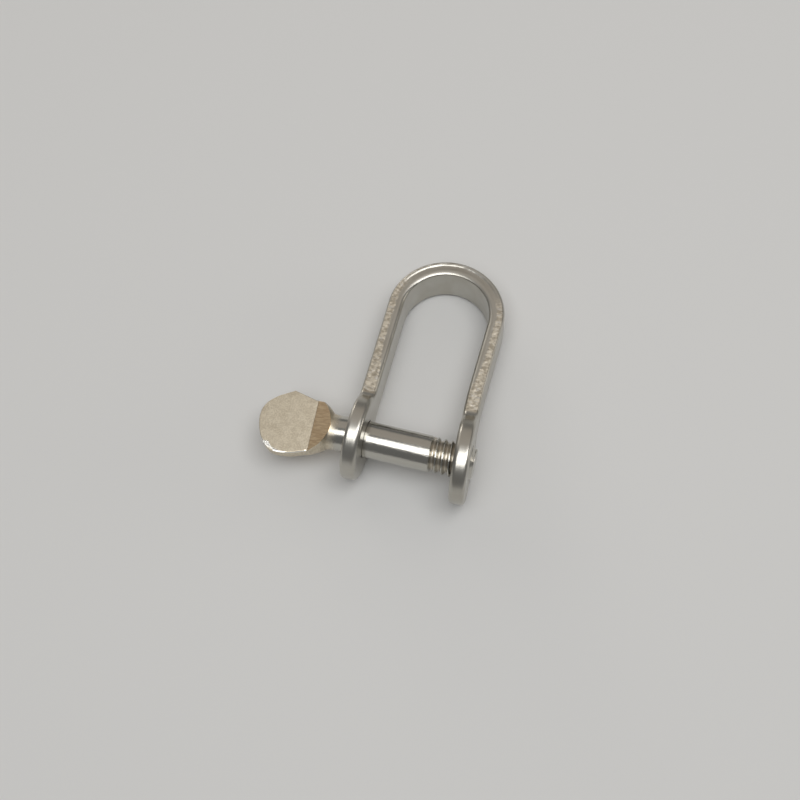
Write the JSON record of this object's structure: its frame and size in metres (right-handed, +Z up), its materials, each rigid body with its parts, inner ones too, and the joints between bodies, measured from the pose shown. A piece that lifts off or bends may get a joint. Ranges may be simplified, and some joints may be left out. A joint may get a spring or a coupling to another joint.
{
  "type": "strip shackle",
  "caption": "Small flat-strip D-shackle with a paddle-headed screw pin, for joining a rope, chain or fitting to an eye.",
  "frame": {"origin": "on the pin's axis, midway between the two eyes of the bow, 4.9 mm above the surface that the shackle lies on", "axes": "+X along the pin from the paddle to the tapped eye, +Y towards the crown of the bow, +Z up; the bow lies as it rests, with its crown end 5.9 degrees down"},
  "size_m": [0.0253, 0.0289, 0.0098],
  "materials": {
    "bow_steel": "tumbled stainless strip, bright on the rounded edges, with rough sheared edge faces along the legs",
    "pin_steel": "drawn stainless bar, polished shank and matt pressed paddle"
  },
  "bodies": {
    "bow": {"bow": "bow_steel"},
    "pin": {"screw_pin": "pin_steel"}
  },
  "joints": [
    {"name": "pin_draw", "type": "slide", "parent": "bow", "child": "pin", "axis": [-1, 0, 0], "range_m": [-0.0023, 0.0166]}
  ]
}
